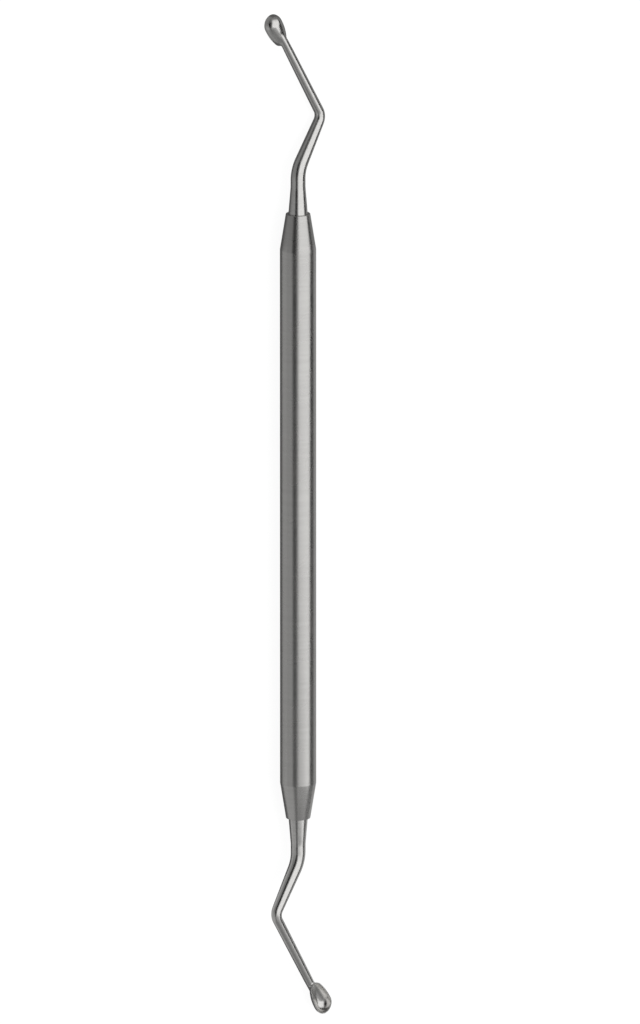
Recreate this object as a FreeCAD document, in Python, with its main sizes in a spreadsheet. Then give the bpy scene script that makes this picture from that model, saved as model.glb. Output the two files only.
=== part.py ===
"""Double-ended bone curette, all of stainless steel.

A turned round handle holds a working end in a bore at each of its tips. A
working end is one piece: a straight tang, a flared neck, a bent shank that
grows thinner all along, and a hollow egg-shaped spoon. The two ends are
opposite hands of each other, so one spoon opens up and the other down.

Lengths are in millimetres and angles in degrees. The instrument lies as it
comes to rest: Z is up, Y runs along the handle, and the origin is on the
ground under the middle of the handle. A working end is drawn with its bends
in the XY plane and its spoon facing down, and is then rolled about Y to rest.
"""

import FreeCAD, Part
import math
import os

import Sketcher
from FreeCAD import Placement, Rotation, Vector

Z_AXIS = Vector(0, 0, 1)
Y_AXIS = Vector(0, 1, 0)
ORIGIN = Vector(0, 0, 0)

# Every driving dimension has a name of its own and is written once.
SIZES = (
    ("handle_length", 103.6),
    ("handle_diameter", 6.0),
    ("nose_length", 6.1),
    ("nose_end_diameter", 4.04),
    ("nose_end_round", 0.2),
    ("bore_diameter", 3.24),
    ("bore_depth", 12.0),
    ("bore_mouth_chamfer", 0.2),
    ("drill_point_angle", 118.0),
    ("tang_radial_gap", 0.02),
    ("tang_end_gap", 0.2),
    ("flare_length", 4.5),
    ("flare_blend", 10.0),
    ("neck_diameter", 2.46),
    ("neck_length", 1.3),
    ("bend_one_angle", 30.5),
    ("bend_one_radius", 5.9),
    ("bend_two_angle", 60.6),
    ("bend_two_radius", 2.0),
    ("reach_one", 9.89),
    ("reach_two", 15.16),
    ("after_bend_one_diameter", 2.3),
    ("before_bend_two_diameter", 1.84),
    ("after_bend_two_diameter", 1.66),
    ("spoon_root_diameter", 1.39),
    ("ridge_length", 3.9),
    ("spoon_length", 6.05),
    ("spoon_tip_radius", 1.70),
    ("spoon_root_radius", 1.17),
    ("spoon_side_radius", 9.44),
    ("spoon_wall", 0.2),
    ("rim_height", 0.97),
    ("rest_gap", 0.02),
)

# What follows from those sizes: where each bend starts and ends, and how far
# the instrument rolls before a bend or a spoon meets the ground.
LAYOUT = (
    ("half_length", "sizes.handle_length / 2"),
    ("bore_radius", "sizes.bore_diameter / 2"),
    ("tang_radius", "bore_radius - sizes.tang_radial_gap"),
    ("tang_end", "half_length - sizes.bore_depth + sizes.tang_end_gap"),
    ("drill_point", "bore_radius / tan(sizes.drill_point_angle / 2)"),
    ("flare_end", "half_length + sizes.flare_length"),
    ("bend_one_start", "flare_end + sizes.neck_length"),
    ("tangent_one", "sizes.bend_one_radius * tan(sizes.bend_one_angle / 2)"),
    ("tangent_two", "sizes.bend_two_radius * tan(sizes.bend_two_angle / 2)"),
    ("return_angle", "sizes.bend_two_angle - sizes.bend_one_angle"),
    ("corner_one_y", "bend_one_start + tangent_one"),
    ("corner_two_x", "sizes.reach_one * sin(sizes.bend_one_angle)"),
    ("corner_two_y", "corner_one_y + sizes.reach_one * cos(sizes.bend_one_angle)"),
    ("bend_one_end_x", "tangent_one * sin(sizes.bend_one_angle)"),
    ("bend_one_end_y", "corner_one_y + tangent_one * cos(sizes.bend_one_angle)"),
    ("bend_two_start_x", "corner_two_x - tangent_two * sin(sizes.bend_one_angle)"),
    ("bend_two_start_y", "corner_two_y - tangent_two * cos(sizes.bend_one_angle)"),
    ("bend_two_centre_x", "bend_two_start_x - sizes.bend_two_radius * cos(sizes.bend_one_angle)"),
    ("bend_two_centre_y", "bend_two_start_y + sizes.bend_two_radius * sin(sizes.bend_one_angle)"),
    ("bend_two_end_x", "corner_two_x - tangent_two * sin(return_angle)"),
    ("bend_two_end_y", "corner_two_y + tangent_two * cos(return_angle)"),
    ("spoon_root_x", "corner_two_x - sizes.reach_two * sin(return_angle)"),
    ("spoon_root_y", "corner_two_y + sizes.reach_two * cos(return_angle)"),
    ("shank_end_x", "spoon_root_x - sizes.ridge_length * sin(return_angle)"),
    ("shank_end_y", "spoon_root_y + sizes.ridge_length * cos(return_angle)"),
    ("crest_x", "bend_two_centre_x + sizes.bend_two_radius"),
    ("crest_radius", "(sizes.before_bend_two_diameter + sizes.after_bend_two_diameter) / 4"),
    ("lift", "sizes.handle_diameter / 2 - sizes.rest_gap"),
    ("bend_roll", "asin((lift - crest_radius) / crest_x)"),
    ("tip_centre_reach", "sizes.reach_two + sizes.spoon_length - sizes.spoon_tip_radius"),
    ("tip_centre_x", "tip_centre_reach * sin(return_angle) - corner_two_x"),
    ("tip_centre_radius", "sqrt(tip_centre_x ^ 2 + sizes.rim_height ^ 2)"),
    ("spoon_roll", "asin((lift - sizes.spoon_tip_radius) / tip_centre_radius)"
                   " + atan(sizes.rim_height / tip_centre_x)"),
    ("rest_roll", "min(bend_roll; spoon_roll)"),
)


def make_sheet(doc, label, rows, mark):
    """A sheet with one named cell for each row; mark is put before its text."""
    sheet = doc.addObject("Spreadsheet::Sheet", label)
    for number, (alias, content) in enumerate(rows, start=1):
        sheet.set(f"A{number}", alias)
        sheet.setAlias(f"B{number}", alias)
        sheet.set(f"B{number}", f"{mark}{content}")
    doc.recompute()
    return sheet


def origin_plane(body, role):
    """The body's own origin plane with that role."""
    return next(item for item in body.Origin.OriginFeatures if item.Role == role)


def new_sketch(body, label, role="XY_Plane"):
    """An empty sketch on one of the body's origin planes."""
    sketch = body.newObject("Sketcher::SketchObject", label)
    sketch.AttachmentSupport = [(origin_plane(body, role), "")]
    sketch.MapMode = "FlatFace"
    return sketch


def constrain(sketch, name, expression, *parts):
    """Add a constraint whose value follows an expression."""
    value = evaluate(sketch.Document, expression)
    index = sketch.addConstraint(Sketcher.Constraint(*parts, value))
    sketch.renameConstraint(index, name)
    sketch.setExpression(f"Constraints.{name}", expression)


def polygon(sketch, corners, blends=None):
    """A closed outline of straight lines, each corner tied to the sheets.

    A corner is its name and the expressions of its X and Y. An X of None puts
    the corner on the Y axis. A corner named in blends is rounded by an arc.
    """
    blends = blends or {}
    points = [corner(sketch.Document, x_text, y_text) for _, x_text, y_text in corners]
    count = len(points)
    for number in range(count):
        line = Part.LineSegment(points[number], points[(number + 1) % count])
        sketch.addGeometry(line, False)
    for number, (name, x_text, y_text) in enumerate(corners):
        before = (number - 1) % count
        point = points[number]
        if name in blends:
            ahead = points[(number + 1) % count]
            held = blend_corner(sketch, before, number, points[before], point, ahead,
                                name, blends[name])
        else:
            sketch.addConstraint(Sketcher.Constraint("Coincident", before, 2, number, 1))
            held = number
        if x_text is None:
            sketch.addConstraint(Sketcher.Constraint("PointOnObject", held, 1, -2))
        else:
            place(sketch, f"{name}_x", "DistanceX", held, 1, x_text, point.x)
        place(sketch, f"{name}_y", "DistanceY", held, 1, y_text, point.y)


def blend_corner(sketch, before, after, behind, point, ahead, name, radius_text):
    """Join two lines by an arc that touches both, and hold the corner they had."""
    radius = evaluate(sketch.Document, radius_text)
    back = (behind - point).normalize()
    forth = (ahead - point).normalize()
    half_angle = back.getAngle(forth) / 2
    centre = point + (back + forth).normalize() * (radius / math.sin(half_angle))
    touch_back = point + back * (radius / math.tan(half_angle)) - centre
    touch_forth = point + forth * (radius / math.tan(half_angle)) - centre
    angle_back = math.atan2(touch_back.y, touch_back.x) % (2 * math.pi)
    angle_forth = math.atan2(touch_forth.y, touch_forth.x) % (2 * math.pi)
    circle = Part.Circle(centre, Z_AXIS, radius)
    first, last = sorted((angle_back, angle_forth))
    arc = sketch.addGeometry(Part.ArcOfCircle(circle, first, last), False)
    back_end, forth_end = (1, 2) if angle_back < angle_forth else (2, 1)
    sketch.addConstraint(Sketcher.Constraint("Tangent", before, 2, arc, back_end))
    sketch.addConstraint(Sketcher.Constraint("Tangent", arc, forth_end, after, 1))
    constrain(sketch, f"{name}_blend", radius_text, "Radius", arc)
    held = sketch.addGeometry(Part.Point(point), True)
    sketch.addConstraint(Sketcher.Constraint("PointOnObject", held, 1, before))
    sketch.addConstraint(Sketcher.Constraint("PointOnObject", held, 1, after))
    return held


def corner(doc, x_text, y_text):
    """The point that two expressions name; an X of None is on the Y axis."""
    x_value = 0.0 if x_text is None else evaluate(doc, x_text)
    return Vector(x_value, evaluate(doc, y_text), 0)


def evaluate(doc, text):
    """The present value of an expression, as a plain number."""
    value = doc.getObject("layout").evalExpression(text)
    return float(getattr(value, "Value", value))


def place(sketch, name, kind, geometry, point, expression, value):
    """Tie one coordinate of a point to an expression."""
    constraint = Sketcher.Constraint(kind, -1, 1, geometry, point, value)
    index = sketch.addConstraint(constraint)
    sketch.renameConstraint(index, name)
    sketch.setExpression(f"Constraints.{name}", expression)


def make_handle(doc):
    """The turned bar: a cylinder with a conical nose and a blind bore at each end."""
    body = doc.addObject("PartDesign::Body", "handle")
    outline = new_sketch(body, "handle_outline")
    nose_end = "sizes.nose_end_diameter / 2"
    handle_radius = "sizes.handle_diameter / 2"
    grip_end = "layout.half_length - sizes.nose_length"
    polygon(outline, (
        ("low_middle", None, "-layout.half_length"),
        ("low_nose_end", nose_end, "-layout.half_length"),
        ("low_grip_end", handle_radius, f"-({grip_end})"),
        ("high_grip_end", handle_radius, grip_end),
        ("high_nose_end", nose_end, "layout.half_length"),
        ("high_middle", None, "layout.half_length"),
    ))
    revolve(body, "PartDesign::Revolution", "turned_bar", outline, 360)

    drill = new_sketch(body, "bore_outline")
    chamfer = "sizes.bore_mouth_chamfer"
    bore_floor = "layout.half_length - sizes.bore_depth"
    polygon(drill, (
        ("mouth_middle", None, "layout.half_length"),
        ("point", None, f"{bore_floor} - layout.drill_point"),
        ("floor", "layout.bore_radius", bore_floor),
        ("wall_top", "layout.bore_radius", f"layout.half_length - {chamfer}"),
        ("mouth", f"layout.bore_radius + {chamfer}", "layout.half_length"),
    ))
    bore = revolve(body, "PartDesign::Groove", "bore", drill, 360)

    other_bore = body.newObject("PartDesign::Mirrored", "other_bore")
    other_bore.Originals = [bore]
    other_bore.MirrorPlane = (origin_plane(body, "XZ_Plane"), [""])
    body.Tip = other_bore
    doc.recompute()

    nose_edges = circles_of_radius(other_bore.Shape, evaluate(doc, nose_end))
    round_edges(body, "nose_end_rounding", nose_edges, "sizes.nose_end_round")
    return body


def revolve(body, kind, label, sketch, angle, axis="V_Axis"):
    """Turn a sketch about one of its own axes, to add or to cut."""
    feature = body.newObject(kind, label)
    feature.Profile = sketch
    feature.ReferenceAxis = (sketch, [axis])
    feature.Angle = angle
    body.Tip = feature
    return feature


def round_edges(body, label, edges, radius):
    """Round edges of the body's last feature."""
    base = body.Tip
    rounding = body.newObject("PartDesign::Fillet", label)
    rounding.Base = (base, edges)
    rounding.setExpression("Radius", radius)
    body.Tip = rounding
    return rounding


def circles_of_radius(shape, radius):
    """The names of the shape's round edges with this radius."""
    names = []
    for number, edge in enumerate(shape.Edges, start=1):
        if isinstance(edge.Curve, Part.Circle) and abs(edge.Curve.Radius - radius) < 1e-6:
            names.append(f"Edge{number}")
    return names


def make_working_end(doc):
    """Tang, flared neck, bent shank and spoon, as one piece."""
    body = doc.addObject("PartDesign::Body", "left_spoon_end")
    neck_radius = "sizes.neck_diameter / 2"
    outline = new_sketch(body, "neck_outline")
    polygon(outline, (
        ("tang_middle", None, "layout.tang_end"),
        ("tang_corner", "layout.tang_radius", "layout.tang_end"),
        ("mouth", "layout.tang_radius", "layout.half_length"),
        ("flare_end", neck_radius, "layout.flare_end"),
        ("neck_end", neck_radius, "layout.bend_one_start"),
        ("neck_middle", None, "layout.bend_one_start"),
    ), {"flare_end": "sizes.flare_blend"})
    revolve(body, "PartDesign::Revolution", "tang_and_neck", outline, 360)

    # The shank grows thinner along every bend and every straight run.
    neck = section(body, "neck_section", "sizes.neck_diameter",
                   "0", "layout.bend_one_start", "0")
    one_end = section(body, "after_bend_one", "sizes.after_bend_one_diameter",
                      "layout.bend_one_end_x", "layout.bend_one_end_y",
                      "-sizes.bend_one_angle")
    two_start = section(body, "before_bend_two", "sizes.before_bend_two_diameter",
                        "layout.bend_two_start_x", "layout.bend_two_start_y",
                        "-sizes.bend_one_angle")
    two_end = section(body, "after_bend_two", "sizes.after_bend_two_diameter",
                      "layout.bend_two_end_x", "layout.bend_two_end_y",
                      "layout.return_angle")
    shank_end = section(body, "shank_end", "sizes.spoon_root_diameter",
                        "layout.shank_end_x", "layout.shank_end_y",
                        "layout.return_angle")
    route_one = bend_route(body, "bend_one_route", "sizes.bend_one_radius",
                           ("sizes.bend_one_radius", "layout.bend_one_start"),
                           ("layout.bend_one_end_x", "layout.bend_one_end_y"),
                           (None, "layout.bend_one_start"))
    route_two = bend_route(body, "bend_two_route", "sizes.bend_two_radius",
                           ("layout.bend_two_centre_x", "layout.bend_two_centre_y"),
                           ("layout.bend_two_start_x", "layout.bend_two_start_y"),
                           ("layout.bend_two_end_x", "layout.bend_two_end_y"))
    tapered_bend(body, "bend_one", neck, one_end, route_one)
    tapered_run(body, "run_one", one_end, two_start)
    tapered_bend(body, "bend_two", two_start, two_end, route_two)
    tapered_run(body, "run_two", two_end, shank_end)
    doc.recompute()

    bowl = egg_outline(body, "bowl_outline", "0")
    revolve(body, "PartDesign::Revolution", "bowl", bowl, 180, "H_Axis")
    hollow = egg_outline(body, "hollow_outline", "sizes.spoon_wall")
    revolve(body, "PartDesign::Groove", "hollow", hollow, 360, "H_Axis")
    return body


def section(body, label, diameter, x_text, y_text, turn_text):
    """A round section across the shank, at a place and turn in the plane of the bends."""
    sketch = new_sketch(body, label, "XZ_Plane")
    sketch.AttachmentOffset = Placement(ORIGIN, Rotation(Y_AXIS, 1))
    sketch.setExpression("AttachmentOffset.Base.x", x_text)
    sketch.setExpression("AttachmentOffset.Base.z", f"-({y_text})")
    sketch.setExpression("AttachmentOffset.Rotation.Angle", turn_text)
    sketch.addGeometry(Part.Circle(ORIGIN, Z_AXIS, 1.0), False)
    sketch.addConstraint(Sketcher.Constraint("Coincident", 0, 3, -1, 1))
    constrain(sketch, "diameter", diameter, "Diameter", 0)
    return sketch


def bend_route(body, label, radius_text, centre_text, first_text, last_text):
    """The centre line of one bend, an arc drawn anticlockwise between two points."""
    doc = body.Document
    radius = evaluate(doc, radius_text)
    centre = corner(doc, *centre_text)
    first = corner(doc, *first_text)
    last = corner(doc, *last_text)
    first_angle = math.atan2(first.y - centre.y, first.x - centre.x)
    last_angle = math.atan2(last.y - centre.y, last.x - centre.x)
    sketch = new_sketch(body, label)
    circle = Part.Circle(centre, Z_AXIS, radius)
    sketch.addGeometry(Part.ArcOfCircle(circle, first_angle, last_angle), False)
    place(sketch, "centre_x", "DistanceX", 0, 3, centre_text[0], centre.x)
    place(sketch, "centre_y", "DistanceY", 0, 3, centre_text[1], centre.y)
    place(sketch, "first_y", "DistanceY", 0, 1, first_text[1], first.y)
    place(sketch, "last_y", "DistanceY", 0, 2, last_text[1], last.y)
    constrain(sketch, "radius", radius_text, "Radius", 0)
    return sketch


def tapered_bend(body, label, first, last, route):
    """Sweep a round section round a bend while it shrinks to the next one."""
    bend = body.newObject("PartDesign::AdditivePipe", label)
    bend.Profile = first
    bend.Spine = route
    bend.Sections = [last]
    bend.Transformation = "Multisection"
    bend.Mode = "Standard"
    body.Tip = bend


def tapered_run(body, label, first, last):
    """A straight cone from one round section to the next."""
    run = body.newObject("PartDesign::AdditiveLoft", label)
    run.Profile = first
    run.Sections = [last]
    run.Ruled = True
    body.Tip = run


def egg_outline(body, label, inset):
    """Half of an egg's outline along the sketch's X axis, blunt at its far end.

    Three arcs run from the egg's root, over its side, to its tip. Each is moved
    in by the inset, so that two of these outlines leave an even wall. The egg
    starts where the spoon starts on the shank, at the height of its rim.
    """
    doc = body.Document
    tip_text = f"sizes.spoon_tip_radius - {inset}"
    root_text = f"sizes.spoon_root_radius - {inset}"
    side_text = f"sizes.spoon_side_radius - {inset}"
    end_text = f"sizes.spoon_length - {inset}"
    tip_radius = evaluate(doc, tip_text)
    root_radius = evaluate(doc, root_text)
    side_radius = evaluate(doc, side_text)
    root_x = evaluate(doc, inset)
    tip_x = evaluate(doc, end_text)

    # The side arc touches both end arcs from outside them, so its centre lies
    # the difference of the radii away from each of their centres.
    root_centre = root_x + root_radius
    tip_centre = tip_x - tip_radius
    apart = tip_centre - root_centre
    to_root = side_radius - root_radius
    to_tip = side_radius - tip_radius
    along = (apart ** 2 + to_root ** 2 - to_tip ** 2) / (2 * apart)
    below = math.sqrt(to_root ** 2 - along ** 2)
    side_centre = Vector(root_centre + along, -below, 0)
    root_angle = math.atan2(below, -along)
    tip_angle = math.atan2(below, apart - along)

    sketch = new_sketch(body, label)
    sketch.AttachmentOffset = Placement(ORIGIN, Rotation(Z_AXIS, 1))
    sketch.setExpression("AttachmentOffset.Base.x", "layout.spoon_root_x")
    sketch.setExpression("AttachmentOffset.Base.y", "layout.spoon_root_y")
    sketch.setExpression("AttachmentOffset.Base.z", "-sizes.rim_height")
    sketch.setExpression("AttachmentOffset.Rotation.Angle", "90 + layout.return_angle")
    root_circle = Part.Circle(Vector(root_centre, 0, 0), Z_AXIS, root_radius)
    side_circle = Part.Circle(side_centre, Z_AXIS, side_radius)
    tip_circle = Part.Circle(Vector(tip_centre, 0, 0), Z_AXIS, tip_radius)
    sketch.addGeometry(Part.ArcOfCircle(root_circle, root_angle, math.pi), False)
    sketch.addGeometry(Part.ArcOfCircle(side_circle, tip_angle, root_angle), False)
    sketch.addGeometry(Part.ArcOfCircle(tip_circle, 0, tip_angle), False)
    sketch.addGeometry(Part.LineSegment(Vector(root_x, 0, 0), Vector(tip_x, 0, 0)), False)
    sketch.addConstraint(Sketcher.Constraint("Tangent", 0, 1, 1, 2))
    sketch.addConstraint(Sketcher.Constraint("Tangent", 1, 1, 2, 2))
    sketch.addConstraint(Sketcher.Constraint("Coincident", 3, 1, 0, 2))
    sketch.addConstraint(Sketcher.Constraint("Coincident", 3, 2, 2, 1))
    sketch.addConstraint(Sketcher.Constraint("PointOnObject", 3, 2, -1))
    sketch.addConstraint(Sketcher.Constraint("PointOnObject", 0, 3, -1))
    sketch.addConstraint(Sketcher.Constraint("PointOnObject", 2, 3, -1))
    constrain(sketch, "root_radius", root_text, "Radius", 0)
    constrain(sketch, "side_radius", side_text, "Radius", 1)
    constrain(sketch, "tip_radius", tip_text, "Radius", 2)
    if inset == "0":
        sketch.addConstraint(Sketcher.Constraint("Coincident", 3, 1, -1, 1))
    else:
        sketch.addConstraint(Sketcher.Constraint("PointOnObject", 3, 1, -1))
        place(sketch, "root_inset", "DistanceX", 3, 1, inset, root_x)
    place(sketch, "tip_reach", "DistanceX", 3, 2, end_text, tip_x)
    return sketch


def lay_down(body, roll_text):
    """Raise a piece from the handle's axis to the ground, rolled about that axis."""
    body.Placement = Placement(ORIGIN, Rotation(Y_AXIS, 1))
    body.setExpression("Placement.Base.z", "sizes.handle_diameter / 2")
    body.setExpression("Placement.Rotation.Angle", roll_text)


def make_opposite_hand(doc, working_end):
    """The other working end: the same form, turned end for end and inside out.

    It is mirrored along the handle and then turned half a turn about it, which
    is the same as reflecting each point through the middle of the handle.
    """
    mirrored = doc.addObject("Part::Mirroring", "right_spoon_end")
    mirrored.Source = working_end
    mirrored.Normal = Y_AXIS
    mirrored.Placement = Placement(ORIGIN, Rotation(Y_AXIS, 180))
    mirrored.setExpression("Placement.Base.z", "sizes.handle_diameter")
    return mirrored


def check(doc, pieces):
    """Stop where a feature failed or a piece isn't one sound solid."""
    for item in doc.Objects:
        if "Invalid" in item.State or "Error" in item.State:
            raise RuntimeError(f"{item.Name} failed: {item.State}")
    for piece in pieces:
        if piece.Shape.isNull() or not piece.Shape.isValid():
            raise RuntimeError(f"{piece.Label} has no sound shape")
        if len(piece.Shape.Solids) != 1:
            raise RuntimeError(f"{piece.Label} is not one solid")


def export(pieces):
    """Write each piece to a file that has its name."""
    os.makedirs("parts", exist_ok=True)
    for piece in pieces:
        piece.Shape.exportStep(f"parts/{piece.Label}.step")
        box = piece.Shape.optimalBoundingBox()
        print(f"{piece.Label}: volume {piece.Shape.Volume:.2f},"
              f" X {box.XMin:.3f} to {box.XMax:.3f},"
              f" Y {box.YMin:.3f} to {box.YMax:.3f},"
              f" Z {box.ZMin:.3f} to {box.ZMax:.3f}")


def main():
    doc = FreeCAD.newDocument("bone_curette")
    make_sheet(doc, "sizes", SIZES, "")
    make_sheet(doc, "layout", LAYOUT, "=")
    handle = make_handle(doc)
    left_end = make_working_end(doc)
    # The round bar may lie any way round: it lies on the line its outline starts from.
    lay_down(handle, "90")
    lay_down(left_end, "layout.rest_roll")
    right_end = make_opposite_hand(doc, left_end)
    doc.recompute()

    pieces = (handle, left_end, right_end)
    check(doc, pieces)
    export(pieces)


main()
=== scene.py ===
# %% [markdown]
# A double-ended bone curette: a round steel handle with a bent shank and a
# hollow spoon at each end. The three solids that the instrument is made of come
# in first as a fixed frame. They are true to size but coarsely faceted, and
# polished steel shows every facet, so each of them gets a finer piece here, in
# exactly the same place.

# %% The fixed frame
import math
from collections import Counter

import bpy
from mathutils import Matrix, Vector
from mathutils.bvhtree import BVHTree


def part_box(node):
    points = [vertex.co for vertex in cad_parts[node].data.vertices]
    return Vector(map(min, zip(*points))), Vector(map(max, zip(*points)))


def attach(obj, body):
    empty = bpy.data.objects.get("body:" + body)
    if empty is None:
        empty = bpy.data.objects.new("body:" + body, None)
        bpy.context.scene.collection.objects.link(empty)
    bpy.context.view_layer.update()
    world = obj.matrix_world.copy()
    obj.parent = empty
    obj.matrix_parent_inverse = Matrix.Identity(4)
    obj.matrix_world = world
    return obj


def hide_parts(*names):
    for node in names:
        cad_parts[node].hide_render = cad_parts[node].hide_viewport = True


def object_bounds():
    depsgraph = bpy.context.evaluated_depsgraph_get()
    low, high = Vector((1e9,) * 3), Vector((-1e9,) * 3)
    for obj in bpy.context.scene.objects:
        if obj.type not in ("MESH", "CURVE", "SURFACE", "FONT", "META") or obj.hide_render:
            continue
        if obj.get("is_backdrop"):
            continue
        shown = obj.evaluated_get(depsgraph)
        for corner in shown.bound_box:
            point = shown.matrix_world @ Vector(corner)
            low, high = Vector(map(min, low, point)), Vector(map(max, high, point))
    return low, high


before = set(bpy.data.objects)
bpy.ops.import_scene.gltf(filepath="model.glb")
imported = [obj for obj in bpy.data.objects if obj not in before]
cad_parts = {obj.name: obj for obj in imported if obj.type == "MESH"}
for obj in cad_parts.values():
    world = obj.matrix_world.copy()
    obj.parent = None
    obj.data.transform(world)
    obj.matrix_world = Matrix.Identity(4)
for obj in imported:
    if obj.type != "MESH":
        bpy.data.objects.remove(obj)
cad_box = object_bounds()
print("solids:", sorted(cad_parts))

# %% [markdown]
# Blender's voxel remesh takes no cell under 0.1 mm when one unit is a metre, and
# the spoon's wall is 0.2 mm. So every piece is modelled with one unit as a
# millimetre, which also keeps the numbers readable, and is shrunk a thousand
# times when it is finished. Helpers that select by place come first, because an
# operator acts on all that is selected.

# %% Helpers for selecting
METRE = 0.001
ROUND = 128
# Points closer than this, in millimetres, are the same point.
CLOSE = 1e-3
# A face is an end face if its normal is within about 26 degrees of the length.
END_ON = 0.9
SELECT_MODES = {"edges": "EDGE", "polygons": "FACE"}


def deselect_all():
    """Nothing selected and nothing in edit mode."""
    if bpy.context.object and bpy.context.object.mode != "OBJECT":
        bpy.ops.object.mode_set(mode="OBJECT")
    bpy.ops.object.select_all(action="DESELECT")


def only(piece):
    """Select one piece and make it the active one."""
    deselect_all()
    piece.select_set(True)
    bpy.context.view_layer.objects.active = piece


def select(piece, parts, test):
    """In edit mode, select only the edges or faces that pass the test."""
    bpy.context.view_layer.objects.active = piece
    bpy.ops.object.mode_set(mode="EDIT")
    bpy.ops.mesh.select_mode(type=SELECT_MODES[parts])
    bpy.ops.mesh.select_all(action="DESELECT")
    bpy.ops.object.mode_set(mode="OBJECT")
    for item in getattr(piece.data, parts):
        item.select = bool(test(item))
    bpy.ops.object.mode_set(mode="EDIT")


# %% Helpers for shaping and measuring
def apply_place(piece):
    """Put the piece's place, turn and size into its mesh."""
    only(piece)
    bpy.ops.object.transform_apply(location=True, rotation=True, scale=True)


def extrude(shift, about=None, grow=1.0):
    """Extrude what is selected, move it and scale it about a point."""
    bpy.ops.mesh.extrude_region_move(TRANSFORM_OT_translate={"value": shift})
    if grow != 1.0:
        bpy.ops.transform.resize(value=(grow, grow, grow), center_override=about)


def face_outwards(piece):
    """Merge doubled points and turn every face outwards."""
    only(piece)
    bpy.ops.object.mode_set(mode="EDIT")
    bpy.ops.mesh.select_all(action="SELECT")
    bpy.ops.mesh.remove_doubles(threshold=CLOSE)
    bpy.ops.mesh.normals_make_consistent(inside=False)
    bpy.ops.object.mode_set(mode="OBJECT")


def report(piece):
    """Print how large and how fine a piece is, and whether its skin is closed."""
    uses = Counter(key for face in piece.data.polygons for key in face.edge_keys)
    open_edges = sum(count != 2 for count in uses.values())
    size = ", ".join(f"{length:.4g}" for length in piece.dimensions)
    print(f"{piece.name}: {len(piece.data.polygons)} faces, {open_edges} open edges, {size} mm")


# %% [markdown]
# The handle is turned from one bar: a long cylinder, a cone at each end, and a
# blind bore drilled into the end of each cone for the tang of a working end. A
# lathe part could be spun from its outline; here it starts as a cylinder whose
# two end faces are extruded outwards to a nose and then back inwards to the
# bore, because each step is one cut that the turner makes. The bore's mouth is
# hardly chamfered, so that the highlight runs on from the shank to the nose with
# next to no line between them.

# %% Sizes of the handle, in millimetres
handle_low, handle_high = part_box("handle")
handle_radius = (handle_high.z - handle_low.z) / 2 / METRE
half_length = (handle_high.y - handle_low.y) / 2 / METRE
nose_length = 6.1
nose_end_radius = 2.02
nose_end_round = 0.08
bore_radius = 1.62
bore_depth = 12.0
mouth_chamfer = 0.03
grip_half = half_length - nose_length
print(f"handle: radius {handle_radius:.3f}, half length {half_length:.2f}")

# %% The handle
deselect_all()
bpy.ops.mesh.primitive_cylinder_add(vertices=ROUND, radius=handle_radius,
                                    depth=2 * grip_half, rotation=(math.pi / 2, 0, 0))
handle = bpy.context.object
handle.name = "handle_bar"
apply_place(handle)
for side in (1, -1):
    nose_centre = Vector((0, side * half_length, 0))
    mouth_centre = Vector((0, side * (half_length - mouth_chamfer), 0))
    mouth_radius = bore_radius + mouth_chamfer
    select(handle, "polygons", lambda face: face.normal.y * side > END_ON)
    extrude((0, side * nose_length, 0), nose_centre, nose_end_radius / handle_radius)
    extrude((0, 0, 0), nose_centre, mouth_radius / nose_end_radius)
    extrude((0, -side * mouth_chamfer, 0), mouth_centre, bore_radius / mouth_radius)
    extrude((0, -side * (bore_depth - mouth_chamfer), 0))
bpy.ops.object.mode_set(mode="OBJECT")
face_outwards(handle)
report(handle)

# %% [markdown]
# Each nose has two outer edges. The one at its end is broken with a small
# radius, so that it doesn't cut a glove. The line where the cone meets the grip
# is blunt already and is left sharper still, so it shows as a fine line in the
# steel. A bevel rounds both, each on a loop of edges that is found by its place.

# %% Rounding the handle's edges
GRIP_LINE_ROUND = 0.04


def loop_at(piece, reach, radius):
    """A test for the edges of a round loop at a reach along Y and a radius."""
    def test(edge):
        ends = [piece.data.vertices[index].co for index in edge.vertices]
        return all(abs(abs(end.y) - reach) < CLOSE
                   and abs(math.hypot(end.x, end.z) - radius) < CLOSE for end in ends)
    return test


select(handle, "edges", loop_at(handle, half_length, nose_end_radius))
bpy.ops.mesh.bevel(offset=nose_end_round, segments=4, affect="EDGES")
select(handle, "edges", loop_at(handle, grip_half, handle_radius))
bpy.ops.mesh.bevel(offset=GRIP_LINE_ROUND, segments=2, affect="EDGES")
bpy.ops.object.mode_set(mode="OBJECT")
report(handle)

# %% [markdown]
# A working end is one forging: tang, flared neck, shank and spoon. It is
# modelled with its bends flat in the XY plane, and rolled to its place at the
# end. The sizes below are those of the solid. From the two bend angles, the
# reaches between the corners and the bend radii follow all the points where a
# straight run touches a bend.

# %% Sizes of a working end, in millimetres
tang_radius = 1.60
# The tang stops 0.2 mm before the floor of the bore.
tang_end = 40.0
flare_length = 4.5
flare_blend = 10.0
neck_radius = 1.23
neck_length = 1.3
bend_one_angle = math.radians(30.5)
bend_one_radius = 5.9
bend_two_angle = math.radians(60.6)
bend_two_radius = 2.0
reach_one = 9.89
reach_two = 15.16
after_one_radius = 1.15
before_two_radius = 0.92
after_two_radius = 0.83
shank_end_radius = 0.695
ridge_length = 3.9
rim_height = 0.97

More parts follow.
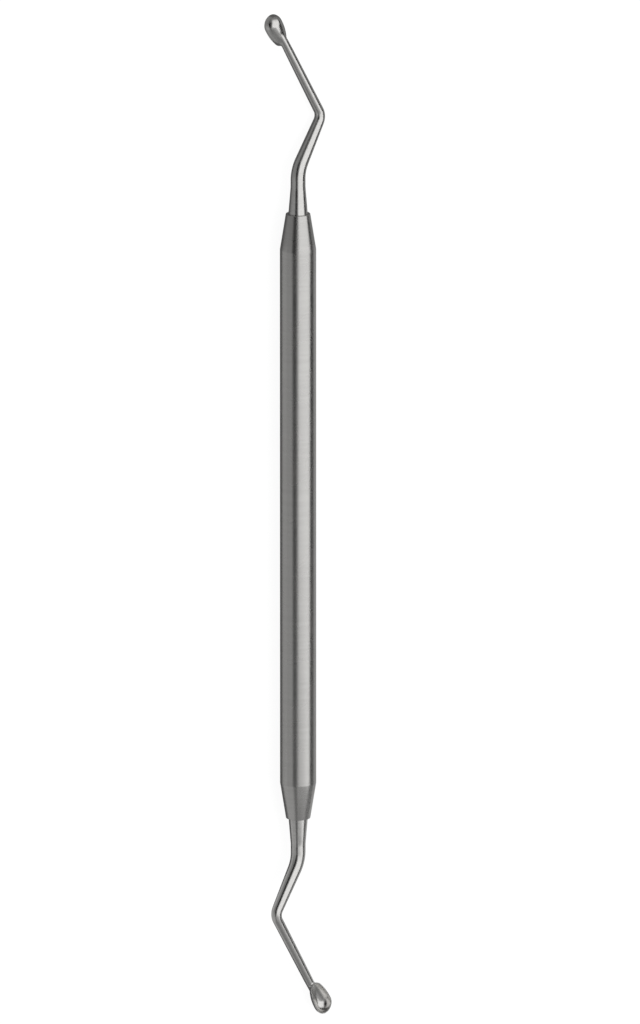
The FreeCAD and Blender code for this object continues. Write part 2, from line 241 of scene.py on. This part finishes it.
# %% Where the shank's runs and bends meet
return_angle = bend_two_angle - bend_one_angle
tangent_one = bend_one_radius * math.tan(bend_one_angle / 2)
tangent_two = bend_two_radius * math.tan(bend_two_angle / 2)
flare_end = half_length + flare_length
bend_one_start = flare_end + neck_length
outwards = Vector((math.sin(bend_one_angle), math.cos(bend_one_angle), 0))
inwards = Vector((-math.sin(return_angle), math.cos(return_angle), 0))
corner_one = Vector((0, bend_one_start + tangent_one, 0))
corner_two = corner_one + outwards * reach_one
spoon_root = corner_two + inwards * reach_two
print(f"second corner at {corner_two.x:.2f}, {corner_two.y:.2f};"
      f" spoon starts at {spoon_root.x:.2f}, {spoon_root.y:.2f}")

# %% [markdown]
# The shank could be a curve with a round bevel and a tapering radius. It is made
# of rings instead: the end face is extruded to the next point of the line,
# turned to face along it and shrunk a little, again and again, which gives even
# quads with a ring exactly where each bend begins and ends. One helper takes a
# straight step and another goes round a bend.

# %% Growing a shank ring by ring
class Shank:
    """The face at the growing end of the shank: its centre, radius and turn."""

    def __init__(self, centre, radius):
        self.centre, self.radius, self.turn = centre, radius, 0.0

    def grow(self, centre, radius, turn):
        """Extrude the end face to a new centre, radius and turn about Z."""
        bpy.ops.mesh.extrude_region_move(TRANSFORM_OT_translate={"value": centre - self.centre})
        # With no window, a positive value turns clockwise seen from above.
        bpy.ops.transform.rotate(value=self.turn - turn, orient_axis="Z",
                                 orient_type="GLOBAL", center_override=centre)
        share = radius / self.radius
        bpy.ops.transform.resize(value=(share, share, share), center_override=centre)
        self.centre, self.radius, self.turn = centre, radius, turn


def bend(shank, middle, angle, end_radius, rings):
    """Grow round a bend about its middle, by an angle that is positive clockwise."""
    start_centre, start_turn, start_radius = shank.centre.copy(), shank.turn, shank.radius
    arm = start_centre - middle
    for ring in range(1, rings + 1):
        share = ring / rings
        turned = Matrix.Rotation(-angle * share, 3, "Z") @ arm
        radius = start_radius + (end_radius - start_radius) * share
        shank.grow(middle + turned, radius, start_turn - angle * share)


# %% [markdown]
# The forging begins as a disc at the inner end of the tang. The tang is as thick
# as the bore lets it be, the flare outside the nose shrinks to the neck, and
# from there the shank gets thinner along both bends and both runs. The cone of
# the flare runs into the neck through an arc that touches both.

# %% The tang, the flare and the neck
FLARE_RINGS = 6

deselect_all()
tang_start = Vector((0, tang_end, 0))
bpy.ops.mesh.primitive_circle_add(vertices=ROUND, radius=tang_radius, fill_type="NGON",
                                  location=tang_start, rotation=(math.pi / 2, 0, 0))
shank_piece = bpy.context.object
shank_piece.name = "shank"
apply_place(shank_piece)
bpy.ops.object.mode_set(mode="EDIT")
bpy.ops.mesh.select_all(action="SELECT")
shank = Shank(tang_start, tang_radius)
shank.grow(Vector((0, half_length, 0)), tang_radius, 0)

flare_slope = math.atan((tang_radius - neck_radius) / flare_length)
blend_reach = flare_blend * math.tan(flare_slope / 2)
for ring in range(FLARE_RINGS + 1):
    angle = flare_slope * (1 - ring / FLARE_RINGS)
    reach = flare_end + blend_reach - flare_blend * math.sin(angle)
    radius = neck_radius + flare_blend * (1 - math.cos(angle))
    shank.grow(Vector((0, reach, 0)), radius, 0)
print(f"flare: slope {math.degrees(flare_slope):.2f} degrees, ends {shank.centre.y:.2f} mm along")

# %% The bends and the runs
BEND_ONE_RINGS = 14
BEND_TWO_RINGS = 24
# The last stretch before the spoon is remeshed with it, as a stub.
STUB_LENGTH = 0.8
BRIDGE_GAP = 0.2

shank.grow(Vector((0, bend_one_start, 0)), neck_radius, 0)
middle_one = Vector((bend_one_radius, bend_one_start, 0))
bend(shank, middle_one, bend_one_angle, after_one_radius, BEND_ONE_RINGS)
bend_two_start = corner_two - outwards * tangent_two
shank.grow(bend_two_start, before_two_radius, -bend_one_angle)
middle_two = bend_two_start + Vector((-outwards.y, outwards.x, 0)) * bend_two_radius
bend(shank, middle_two, -bend_two_angle, after_two_radius, BEND_TWO_RINGS)


def run_two_radius(reach):
    """The shank's radius at a distance past the second corner."""
    share = (reach - tangent_two) / (reach_two + ridge_length - tangent_two)
    return after_two_radius + (shank_end_radius - after_two_radius) * share


shank_stop = reach_two - STUB_LENGTH - BRIDGE_GAP
shank.grow(corner_two + inwards * shank_stop, run_two_radius(shank_stop), return_angle)
bpy.ops.mesh.delete(type="ONLY_FACE")
bpy.ops.object.mode_set(mode="OBJECT")
report(shank_piece)

# %% [markdown]
# The spoon is half of an egg. Its outline is three arcs that touch: a blunt tip,
# a long side and a narrower root. A single point spun about the centre of each
# arc in turn draws that outline, and the outline spun about the spoon's own
# line makes the egg. The hollow is the same egg with every arc moved in by the
# wall, so the wall comes out even.

# %% Eggs for the outside and the hollow of the spoon
spoon_length = 6.05
spoon_tip_radius = 1.70
spoon_root_radius = 1.17
spoon_side_radius = 9.44
spoon_wall = 0.2
TIP_STEPS, SIDE_STEPS, ROOT_STEPS = 28, 28, 20


def make_egg(name, inset):
    """A closed egg along Y, blunt at its far end, with its root at the origin."""
    tip, root, side = (radius - inset for radius in
                       (spoon_tip_radius, spoon_root_radius, spoon_side_radius))
    root_centre = inset + root
    tip_centre = spoon_length - inset - tip
    apart = tip_centre - root_centre
    to_root, to_tip = side - root, side - tip
    along = (apart ** 2 + to_root ** 2 - to_tip ** 2) / (2 * apart)
    below = math.sqrt(to_root ** 2 - along ** 2)
    tip_angle = math.atan2(below, apart - along)
    root_angle = math.atan2(below, -along)
    arcs = ((tip_angle, (0, tip_centre, 0), TIP_STEPS),
            (root_angle - tip_angle, (-below, root_centre + along, 0), SIDE_STEPS),
            (math.pi - root_angle, (0, root_centre, 0), ROOT_STEPS))
    deselect_all()
    bpy.ops.mesh.primitive_plane_add(size=1)
    egg = bpy.context.object
    egg.name = name
    bpy.ops.object.mode_set(mode="EDIT")
    bpy.ops.mesh.select_mode(type="VERT")
    bpy.ops.mesh.select_all(action="SELECT")
    bpy.ops.mesh.merge(type="CENTER")
    bpy.ops.transform.translate(value=(0, spoon_length - inset, 0))
    for angle, centre, steps in arcs:
        bpy.ops.mesh.spin(steps=steps, angle=angle, center=centre, axis=(0, 0, 1))
    bpy.ops.mesh.select_all(action="SELECT")
    bpy.ops.mesh.spin(steps=ROUND, angle=2 * math.pi, center=(0, 0, 0), axis=(0, 1, 0))
    face_outwards(egg)
    report(egg)
    return egg


spoon = make_egg("spoon", 0)
hollow = make_egg("hollow", spoon_wall)

# %% [markdown]
# The shank doesn't stop at the spoon: it runs on over the bowl's back as a ridge
# that sinks into it, and the polisher's wheel has softened the line between
# them. The ridge is a cone whose end face is extruded on, thinner and lower, to
# a place inside the bowl.

# %% The ridge over the bowl's back
RIDGE_SINKS_FROM = 1.0
RIDGE_END_RADIUS = 0.61
RIDGE_DROP = 0.06
STUB_SPARE = 0.5

stub_start = -STUB_LENGTH - STUB_SPARE
stub_radius = run_two_radius(reach_two + stub_start)
deselect_all()
bpy.ops.mesh.primitive_cone_add(vertices=ROUND, radius1=stub_radius, radius2=shank_end_radius,
                                depth=RIDGE_SINKS_FROM - stub_start,
                                location=(0, (RIDGE_SINKS_FROM + stub_start) / 2, rim_height),
                                rotation=(-math.pi / 2, 0, 0))
ridge = bpy.context.object
ridge.name = "ridge"
apply_place(ridge)
select(ridge, "polygons", lambda face: face.normal.y > END_ON)
extrude((0, ridge_length - RIDGE_SINKS_FROM, -RIDGE_DROP),
        (0, ridge_length, rim_height - RIDGE_DROP), RIDGE_END_RADIUS / shank_end_radius)
bpy.ops.object.mode_set(mode="OBJECT")
report(ridge)

# %% [markdown]
# A boolean union would leave a hard crease, so a voxel remesh joins egg and
# ridge into one skin of even quads, and a smooth modifier then blends the two.
# Smoothing all of the bowl that much would shrink it, and smoothing a selected
# patch leaves an edge round the patch. So a vertex group gives each point a
# weight that fades with its distance from the line where the two meet. A few
# rounds over everything then take the steps of the voxels away.

# %% One skin, blended where ridge and bowl meet
VOXEL = 0.045
BLEND_REACH = 0.6
BLEND_ROUNDS = 240
EVEN_ROUNDS = 4
SMOOTH_FACTOR = 0.5


def skin_of(piece):
    """A search tree that finds the nearest point on a piece."""
    points = [point.co for point in piece.data.vertices]
    return BVHTree.FromPolygons(points, [face.vertices for face in piece.data.polygons])


ridge_skin, egg_skin = skin_of(ridge), skin_of(spoon)
only(spoon)
ridge.select_set(True)
bpy.ops.object.join()
remesh = spoon.modifiers.new("one_skin", "REMESH")
remesh.mode = "VOXEL"
remesh.voxel_size = VOXEL
bpy.ops.object.modifier_apply(modifier=remesh.name)

near_the_line = spoon.vertex_groups.new(name="near_the_line")
weighted = 0
for point in spoon.data.vertices:
    apart = sum(skin.find_nearest(point.co)[3] for skin in (egg_skin, ridge_skin))
    weight = max(0.0, 1 - apart / BLEND_REACH) ** 2
    near_the_line.add([point.index], weight, "REPLACE")
    weighted += weight > 0
print("points that the blend moves:", weighted)
for rounds, group in ((BLEND_ROUNDS, near_the_line.name), (EVEN_ROUNDS, "")):
    smooth = spoon.modifiers.new("smooth", "SMOOTH")
    smooth.factor = SMOOTH_FACTOR
    smooth.iterations = rounds
    smooth.vertex_group = group
    bpy.ops.object.modifier_apply(modifier=smooth.name)
spoon.vertex_groups.clear()
report(spoon)

# %% [markdown]
# The rim is ground flat last, straight across the egg. A boolean could take the
# hollow out, but it leaves slivers where two fine meshes touch. Here both skins
# are cut open by a bisect at the same plane, and a fill between the two cut
# edges is the rim. A third bisect trims the stub of the shank square, where the
# rest of the shank will meet it.

# %% The rim and the hollow
def cut_away(piece, point, normal):
    """Cut a piece open at a plane and clear what lies behind the plane."""
    only(piece)
    bpy.ops.object.mode_set(mode="EDIT")
    bpy.ops.mesh.select_all(action="SELECT")
    bpy.ops.mesh.bisect(plane_co=point, plane_no=normal, clear_inner=True)
    bpy.ops.object.mode_set(mode="OBJECT")
    report(piece)


def join_open(piece, other, close):
    """Join another open piece to this one and close what lies between their edges."""
    only(piece)
    other.select_set(True)
    bpy.ops.object.join()
    bpy.ops.object.mode_set(mode="EDIT")
    bpy.ops.mesh.select_mode(type="EDGE")
    bpy.ops.mesh.select_all(action="DESELECT")
    bpy.ops.mesh.select_non_manifold()
    close()
    bpy.ops.object.mode_set(mode="OBJECT")
    face_outwards(piece)
    report(piece)


cut_away(spoon, (0, 0, 0), (0, 0, 1))
cut_away(hollow, (0, 0, 0), (0, 0, 1))
join_open(spoon, hollow, bpy.ops.mesh.fill)
cut_away(spoon, (0, -STUB_LENGTH, 0), (0, 1, 0))

# %% [markdown]
# The real end is one piece of steel, so the spoon has to join the shank with no
# seam. It is turned into the shank's last run, with its rim a millimetre below
# the shank's middle line. Both are open rings there, a fifth of a millimetre
# apart, and a bridge closes the gap although the two rings don't have equally
# many points. A union would need them to overlap, and would leave its own seam.

# %% Shank and spoon in one piece
spoon.rotation_euler = (0, 0, return_angle)
spoon.location = (spoon_root.x, spoon_root.y, -rim_height)
apply_place(spoon)
left_end = shank_piece
left_end.name = "left_working_end"
join_open(left_end, spoon, bpy.ops.mesh.bridge_edge_loops)

# %% [markdown]
# The curette lies where it rolls to: its second bend just clears the ground. The
# other working end is the opposite hand. Every point of the first, taken
# straight through the middle of the handle, gives it, so a copy is scaled by -1
# and its faces are turned outwards again.

# %% Places at rest
REST_ROLL = 26.588
middle = Vector((0, 0, handle_radius))

handle.location = middle
apply_place(handle)
left_end.rotation_euler = (0, math.radians(REST_ROLL), 0)
left_end.location = middle
apply_place(left_end)
only(left_end)
bpy.ops.object.duplicate()
right_end = bpy.context.object
right_end.name = "right_working_end"
right_end.location = 2 * middle
right_end.scale = (-1, -1, -1)
apply_place(right_end)
face_outwards(right_end)
report(right_end)

# %% [markdown]
# Now the pieces shrink from units of a millimetre to metres. Each one rides on
# the only body and stands for its solid, which is hidden here and stays for the
# physics. Shading is smooth except where two faces meet at more than 30 degrees,
# so the rim keeps its edge.

# %% Real size, and what each piece stands for
SHARP_OVER = math.radians(30)
STANDS_FOR = (
    (handle, "handle", "handle_steel"),
    (left_end, "left_spoon_end", "working_end_steel"),
    (right_end, "right_spoon_end", "working_end_steel"),
)
for piece, node, slot in STANDS_FOR:
    piece.scale = (METRE, METRE, METRE)
    apply_place(piece)
    bpy.ops.object.shade_smooth_by_angle(angle=SHARP_OVER)
    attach(piece, "root")
    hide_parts(node)
    low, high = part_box(node)
    corners = [Vector(corner) for corner in piece.bound_box]
    reach = [max(corner[i] for corner in corners) - high[i] for i in range(3)]
    print(f"{piece.name}: past its solid by", [f"{length / METRE:.3f}" for length in reach], "mm")

# %% [markdown]
# The whole curette is stainless steel, hardened at the ends. Steel's own colour
# is a light and very slightly warm grey, and as a metal it keeps Blender's
# default index of refraction. What tells the pieces apart is how they were
# finished: the handle on a lathe, the ends by grinding and polishing. So both
# finishes share one recipe, and differ in roughness and in their marks.

# %% Helpers for materials
def linear(code):
    """An sRGB hex colour as linear values with full opacity."""
    channels = [int(code[i:i + 2], 16) / 255 for i in (1, 3, 5)]
    values = [c / 12.92 if c <= 0.04045 else ((c + 0.055) / 1.055) ** 2.4 for c in channels]
    return (*values, 1.0)


def add_node(material, kind, settings=None, **links):
    """Add a shader node, set its sockets or properties, and link its inputs."""
    tree = material.node_tree
    node = tree.nodes.new(kind)
    for key, value in (settings or {}).items():
        if key in node.inputs:
            node.inputs[key].default_value = value
        else:
            setattr(node, key, value)
    for socket, source in links.items():
        tree.links.new(source, node.inputs[socket.replace("_", " ")])
    return node


def new_material(name):
    """An empty material with its output node."""
    material = bpy.data.materials.new(name)
    material.use_nodes = True
    material.node_tree.nodes.clear()
    output = material.node_tree.nodes.new("ShaderNodeOutputMaterial")
    return material, output


# %% [markdown]
# A finish could be painted as a picture of scratches, but pictures don't scale.
# Here one noise pattern stands for the marks that the tool left. It lifts the
# surface less than a thousandth of a millimetre, because more would make the
# edges of the reflections wavy, and it darkens the grooves a little, a painted
# shade as if they caught less light. A second, slow noise makes the polish
# uneven, as hands and washing leave it.

# %% Stainless steel and its marks
MARK_DETAIL = 2.0
MARK_STRENGTH = 0.5
UNEVEN_POLISH_MM = 5.0
UNEVEN_POLISH = 0.02
# Nearly all of each noise lies between its two values.
MARKS_LOW, MARKS_HIGH = 0.35, 0.65
UNEVEN_LOW, UNEVEN_HIGH = 0.3, 0.7


def make_steel(name, roughness, colours, mark_mm, mark_depth_mm, stretch):
    """Stainless steel: the colours of its grooves, darker with painted shade, and of its ridges,
    and the size of its marks.
    """
    material, output = new_material(name)
    place = add_node(material, "ShaderNodeTexCoord")
    stretched = add_node(material, "ShaderNodeMapping", {"Scale": stretch},
                         Vector=place.outputs["Object"])
    marks = add_node(material, "ShaderNodeTexNoise",
                     {"Scale": 1 / (mark_mm * METRE), "Detail": MARK_DETAIL},
                     Vector=stretched.outputs["Vector"])
    depth = add_node(material, "ShaderNodeMapRange",
                     {"From Min": MARKS_LOW, "From Max": MARKS_HIGH},
                     Value=marks.outputs["Fac"])
    # The mix gives the tool marks their own tone and paints shade into their grooves: the first
    # colour, the darker one, is the groove.
    # A Mix node has sockets for every kind of data: 6, 7 and output 2 are the colours.
    marks_and_groove_shade = add_node(material, "ShaderNodeMix", {"data_type": "RGBA"},
                    Factor=depth.outputs["Result"])
    marks_and_groove_shade.inputs[6].default_value, marks_and_groove_shade.inputs[7].default_value = map(linear, colours)
    bump = add_node(material, "ShaderNodeBump",
                    {"Strength": MARK_STRENGTH, "Distance": mark_depth_mm * METRE},
                    Height=marks.outputs["Fac"])
    uneven = add_node(material, "ShaderNodeTexNoise",
                      {"Scale": 1 / (UNEVEN_POLISH_MM * METRE), "Detail": MARK_DETAIL},
                      Vector=place.outputs["Object"])
    polish = add_node(material, "ShaderNodeMapRange",
                      {"From Min": UNEVEN_LOW, "To Min": roughness - UNEVEN_POLISH,
                       "From Max": UNEVEN_HIGH, "To Max": roughness + UNEVEN_POLISH},
                      Value=uneven.outputs["Fac"])
    steel = add_node(material, "ShaderNodeBsdfPrincipled", {"Metallic": 1.0},
                     Base_Color=marks_and_groove_shade.outputs[2], Roughness=polish.outputs["Result"],
                     Normal=bump.outputs["Normal"])
    material.node_tree.links.new(steel.outputs["BSDF"], output.inputs["Surface"])
    print(f"{name}: marks of {mark_mm} mm, {mark_depth_mm * 1000:.1f} micrometres deep")
    return material


# Turned on a lathe and left satin: to the eye, soft broad highlights along the
# bar with the finest rings around it. A finishing cut leaves a line every 0.08
# mm. That is half a pixel of the photograph, so the rings are drawn at 0.35 mm.
turned_steel = make_steel("satin_turned_stainless_steel", 0.27, ("#C8C7C5", "#CDCCCA"),
                          0.35, 0.0005, (0.03, 1, 0.03))

# Ground to shape and polished by hand on a soft wheel: to the eye, cleaner and
# sharper highlights, on a surface that is never quite even. A wheel's scratches
# are some hundredths of a millimetre apart, so they are drawn at 0.5 mm.
polished_steel = make_steel("hand_polished_stainless_steel", 0.22, ("#D6D5D3", "#DDDCDA"),
                            0.5, 0.0008, (1, 1, 1))

for piece, material in ((handle, turned_steel), (left_end, polished_steel),
                        (right_end, polished_steel)):
    piece.data.materials.clear()
    piece.data.materials.append(material)

# %% [markdown]
# The photograph was taken with a very long lens from nearly straight above. The
# camera leans 15 degrees towards the left-hand end. The photograph shows the
# bends rolled 40.3 degrees out of level, and at rest they are rolled less, so
# the camera goes round the handle by the difference. It could be aimed by eye,
# but the handle's middle is known to a tenth of a pixel, and the aim follows
# from it.

# %% The camera
LENS_MM = 1080.0
SENSOR_MM = 36.0
PHOTO_WIDTH, PHOTO_HEIGHT = 640, 1024
PIXEL = 0.16566 * METRE
HANDLE_MIDDLE_PX = (298.1, 516.3)
TILT = math.radians(15.0)
PHOTO_ROLL = 40.3
ROUND_THE_HANDLE = math.radians(REST_ROLL - PHOTO_ROLL)

view_back = Vector((math.cos(TILT) * math.sin(ROUND_THE_HANDLE), math.sin(TILT),
                    math.cos(TILT) * math.cos(ROUND_THE_HANDLE)))
view_right = Vector((math.cos(ROUND_THE_HANDLE), 0, -math.sin(ROUND_THE_HANDLE)))
view_up = view_back.cross(view_right)
frame_height = PHOTO_HEIGHT * PIXEL
distance = frame_height * LENS_MM / SENSOR_MM
centre = Vector((0, 0, handle_radius * METRE))
aim = (centre + view_right * (PHOTO_WIDTH / 2 - HANDLE_MIDDLE_PX[0]) * PIXEL
       - view_up * (PHOTO_HEIGHT / 2 - HANDLE_MIDDLE_PX[1]) * PIXEL)
view_turn = Matrix((view_right, view_up, view_back)).transposed().to_4x4()

camera_data = bpy.data.cameras.new("long_lens")
camera_data.lens = LENS_MM
camera_data.sensor_width = SENSOR_MM
camera = bpy.data.objects.new("camera", camera_data)
bpy.context.scene.collection.objects.link(camera)
camera.matrix_world = Matrix.Translation(aim + view_back * distance) @ view_turn
bpy.context.scene.camera = camera
print(f"camera {distance:.2f} m away, up {view_up[:]}")

# %% [markdown]
# Polished steel has no colour to speak of: what it shows is the room. A
# photographer builds that room from cards around the instrument, and lamps
# could light them. Here each card glows by itself, with an even level or with
# one that runs along a direction, because that gives every tone its own number.
# The cards are seen only by the steel.

# %% Cards that only the steel sees
def card_material(name, level):
    """A card that shines evenly at a given level."""
    material, output = new_material(name)
    glow = add_node(material, "ShaderNodeEmission", {"Strength": level})
    material.node_tree.links.new(glow.outputs["Emission"], output.inputs["Surface"])
    return material


def shaded_material(name, direction, stops):
    """A glow whose level runs through (reach, level) stops along a direction."""
    material, output = new_material(name)
    place = add_node(material, "ShaderNodeTexCoord")
    reach = add_node(material, "ShaderNodeVectorMath",
                     {"operation": "DOT_PRODUCT"}, Vector=place.outputs["Object"])
    reach.inputs[1].default_value = direction
    start, end = stops[0][0], stops[-1][0]
    share = add_node(material, "ShaderNodeMapRange",
                     {"From Min": start, "From Max": end}, Value=reach.outputs["Value"])
    ramp = add_node(material, "ShaderNodeValToRGB", Fac=share.outputs["Result"])
    elements = ramp.color_ramp.elements
    while len(elements) < len(stops):
        elements.new(0.5)
    for element, (stop, level) in zip(elements, stops):
        element.position = (stop - start) / (end - start)
        element.color = (level, level, level, 1.0)
    glow = add_node(material, "ShaderNodeEmission", {"Strength": 1.0}, Color=ramp.outputs["Color"])
    material.node_tree.links.new(glow.outputs["Emission"], output.inputs["Surface"])
    return material


def only_in_reflections(card, material):
    """Stage that the steel reflects and nothing else sees."""
    card.name = material.name
    card.data.materials.append(material)
    card.visible_camera = False
    card.visible_diffuse = False
    card.visible_shadow = False
    card.visible_transmission = False
    card.visible_volume_scatter = False
    card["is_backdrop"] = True
    low, high = (Vector(card.bound_box[i]) for i in (0, 6))
    print(f"{card.name}: {(high - low).length:.2f} m from corner to corner")


# %% [markdown]
# A bright window on the right of the camera gives the wide highlight, and black
# strips on both sides of it give the dark lines that draw the form. Each is a
# strip bent round the instrument, a line spun about its middle, and is placed by
# the angles at which the steel sees it. The grip mirrors what is 30 degrees
# below the camera, the upper nose 12 and the lower nose 48 degrees, so a level
# that changes with the angle gives each of them its own tone.

# %% The window and the black strips
CARD_RADIUS = 0.8
CARD_STEPS = 16


def card_reach(elevation):
    """How high on a card an elevation in degrees meets it."""
    return CARD_RADIUS * math.tan(math.radians(elevation))


def hang_card(material, azimuths, elevations):
    """A curved card round the instrument, between angles from the camera to the right and up."""
    first, last = (math.radians(angle) for angle in azimuths)
    bottom, top = (card_reach(angle) for angle in elevations)
    deselect_all()
    bpy.ops.mesh.primitive_plane_add(size=1)
    card = bpy.context.object
    bpy.ops.object.mode_set(mode="EDIT")
    bpy.ops.mesh.select_mode(type="VERT")
    bpy.ops.mesh.select_all(action="SELECT")
    bpy.ops.transform.resize(value=(0, top - bottom, 1))
    bpy.ops.mesh.remove_doubles()
    bpy.ops.transform.translate(value=(CARD_RADIUS * math.sin(first), (top + bottom) / 2,
                                       CARD_RADIUS * math.cos(first)))
    bpy.ops.mesh.spin(steps=CARD_STEPS, angle=first - last, center=(0, 0, 0), axis=(0, 1, 0))
    bpy.ops.object.mode_set(mode="OBJECT")
    card.matrix_world = Matrix.Translation(centre) @ view_turn
    apply_place(card)
    only_in_reflections(card, material)


def shaded_card(name, azimuths, elevations, levels):
    """A hanging card whose glow runs through (elevation, level) stops."""
    stops = [(card_reach(elevation), level) for elevation, level in levels]
    hang_card(shaded_material(name, view_up, stops), azimuths, elevations)


WINDOW_LEVEL = 1.04
shaded_card("bright_window", (3, 84), (-78, 62),
            ((-62, 0.22), (-50, 0.37), (-39, 0.37), (-35, 0.48),
             (-31.5, WINDOW_LEVEL), (34, WINDOW_LEVEL), (56, 0.25)))
shaded_card("black_strip_left", (-38, -8), (-78, 70),
            ((-41, 0.15), (-30, 0.06), (-15, 0.0), (10, 0.0), (45, 0.2)))
shaded_card("black_strip_right", (84, 106), (-78, 70),
            ((-60, 0.20), (-45, 0.18), (-30, 0.14), (-12, 0.0)))

# %% [markdown]
# The middle tones come from a grey tent all around. It is lightest about 50
# degrees below the camera, falls off slowly towards the top of the picture and
# faster further down, as a tent does when it is lit from one end. Boards just
# above the floor carry the same run along the handle, so that the underside of
# the steel has tones that meet the tent's.

# %% The tent
TENT_RADIUS = 4.0
TENT_LEVELS = ((-65, 0.25), (-50, 0.45), (-30, 0.38), (0, 0.24))

deselect_all()
bpy.ops.mesh.primitive_uv_sphere_add(segments=48, ring_count=24, radius=TENT_RADIUS,
                                     location=centre)
tent = bpy.context.object
apply_place(tent)
tent_stops = [(TENT_RADIUS * math.sin(math.radians(elevation)), level)
              for elevation, level in TENT_LEVELS]
only_in_reflections(tent, shaded_material("grey_tent", view_up, tent_stops))

# %% The boards over the floor, in millimetres
BOARD_HEIGHT = -0.1
FAR = 4000


def lay_board(name, level, across, along=(-FAR, FAR)):
    """A board between two X and two Y."""
    (left, right), (near, far) = across, along
    deselect_all()
    bpy.ops.mesh.primitive_plane_add(size=1)
    board = bpy.context.object
    board.scale = ((right - left) * METRE, (far - near) * METRE, 1)
    board.location = ((right + left) / 2 * METRE, (far + near) / 2 * METRE, BOARD_HEIGHT * METRE)
    apply_place(board)
    only_in_reflections(board, card_material(name, level))


for name, level, along in (("near", 0.43, (-FAR, -50)), ("middle", 0.38, (-50, 45)),
                           ("far", 0.26, (45, FAR))):
    lay_board(f"grey_board_left_{name}", level, (-FAR, -7), along)
    lay_board(f"grey_board_right_{name}", level, (3, 25), along)
# The dark board right under the curette is a painted shadow: it stands for the floor in the
# curette's own shade, as the steel's underside mirrors it.
lay_board("shadow_board_middle", 0.12, (-7, 3))
lay_board("black_board_right", 0.09, (25, 300))
lay_board("grey_board_far_right", 0.30, (300, FAR))

# %% [markdown]
# The floor is white paper, lit by an even sky and one soft lamp at a level where
# a colour renders about as it is written. To the camera, and to mirrors and
# glass, part of the paper glows white by itself. That takes it to the white of
# the background, and the instrument's soft shadow stays. The sky is a little
# brighter to those rays too, so that it meets the paper with no horizon.

# %% The floor
FLOOR_SIZE = 10.0
FLOOR_DROP = 0.0002
GLOW_SHARE = 0.8
GLOW_LEVEL = 1.1


def seen_directly(material, share):
    """A socket that is a given share for camera, mirror and glass rays, and nothing for others."""
    rays = add_node(material, "ShaderNodeLightPath")
    mirror = add_node(material, "ShaderNodeMath", {"operation": "MAXIMUM"})
    material.node_tree.links.new(rays.outputs["Is Camera Ray"], mirror.inputs[0])
    material.node_tree.links.new(rays.outputs["Is Glossy Ray"], mirror.inputs[1])
    glass = add_node(material, "ShaderNodeMath", {"operation": "MAXIMUM"})
    material.node_tree.links.new(mirror.outputs[0], glass.inputs[0])
    material.node_tree.links.new(rays.outputs["Is Transmission Ray"], glass.inputs[1])
    scaled = add_node(material, "ShaderNodeMath", {"operation": "MULTIPLY"})
    material.node_tree.links.new(glass.outputs[0], scaled.inputs[0])
    scaled.inputs[1].default_value = share
    return scaled.outputs[0]


paper, output = new_material("white_paper")
matt = add_node(paper, "ShaderNodeBsdfDiffuse", {"Color": linear("#EFEFEF")})
white = add_node(paper, "ShaderNodeEmission", {"Strength": GLOW_LEVEL})
mix = add_node(paper, "ShaderNodeMixShader", Fac=seen_directly(paper, GLOW_SHARE))
paper.node_tree.links.new(matt.outputs["BSDF"], mix.inputs[1])
paper.node_tree.links.new(white.outputs["Emission"], mix.inputs[2])
paper.node_tree.links.new(mix.outputs["Shader"], output.inputs["Surface"])

deselect_all()
bpy.ops.mesh.primitive_plane_add(size=FLOOR_SIZE, location=(0, 0, -FLOOR_DROP))
floor = bpy.context.object
floor.name = "floor"
floor.data.materials.append(paper)
floor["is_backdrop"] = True
print(f"floor: {FLOOR_SIZE:.0f} m square, {FLOOR_DROP / METRE:.1f} mm under the curette")

# %% The sky and the lamp
SKY_LEVEL = 0.85
LAMP_WIDTH = 0.6
LAMP_WATTS = 3.0
LAMP_TO_THE_RIGHT = 0.5
LAMP_HEIGHT = 1.2

world = bpy.data.worlds.new("white_sky")
world.use_nodes = True
bpy.context.scene.world = world
sky = world.node_tree.nodes["Background"]
sky.inputs["Color"].default_value = linear("#FFFFFF")
strength = add_node(world, "ShaderNodeMath", {"operation": "ADD"})
world.node_tree.links.new(seen_directly(world, 1 - SKY_LEVEL), strength.inputs[0])
strength.inputs[1].default_value = SKY_LEVEL
world.node_tree.links.new(strength.outputs[0], sky.inputs["Strength"])

lamp_data = bpy.data.lights.new("soft_lamp", "AREA")
lamp_data.shape = "DISK"
lamp_data.size = LAMP_WIDTH
lamp_data.energy = LAMP_WATTS
lamp = bpy.data.objects.new("soft_lamp", lamp_data)
bpy.context.scene.collection.objects.link(lamp)
lamp_place = centre + view_right * LAMP_TO_THE_RIGHT + Vector((0, 0, LAMP_HEIGHT))
lamp.matrix_world = (Matrix.Translation(lamp_place)
                     @ (lamp_place - centre).to_track_quat("Z", "Y").to_matrix().to_4x4())
lamp.visible_glossy = False

bpy.context.scene.view_settings.view_transform = "Standard"
print(f"sky at {SKY_LEVEL}, lamp of {LAMP_WATTS} W {(lamp_place - centre).length:.2f} m away")

# %% [markdown]
# The solids and the finer pieces have to fill the same box. Both boxes are
# printed, to compare.

# %% The two boxes, to compare, and the end
visual_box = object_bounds()
for name, (low, high) in (("solids", cad_box), ("pieces", visual_box)):
    size = ", ".join(f"{(high[i] - low[i]) / METRE:.3f}" for i in range(3))
    print(f"{name}: {size} mm")
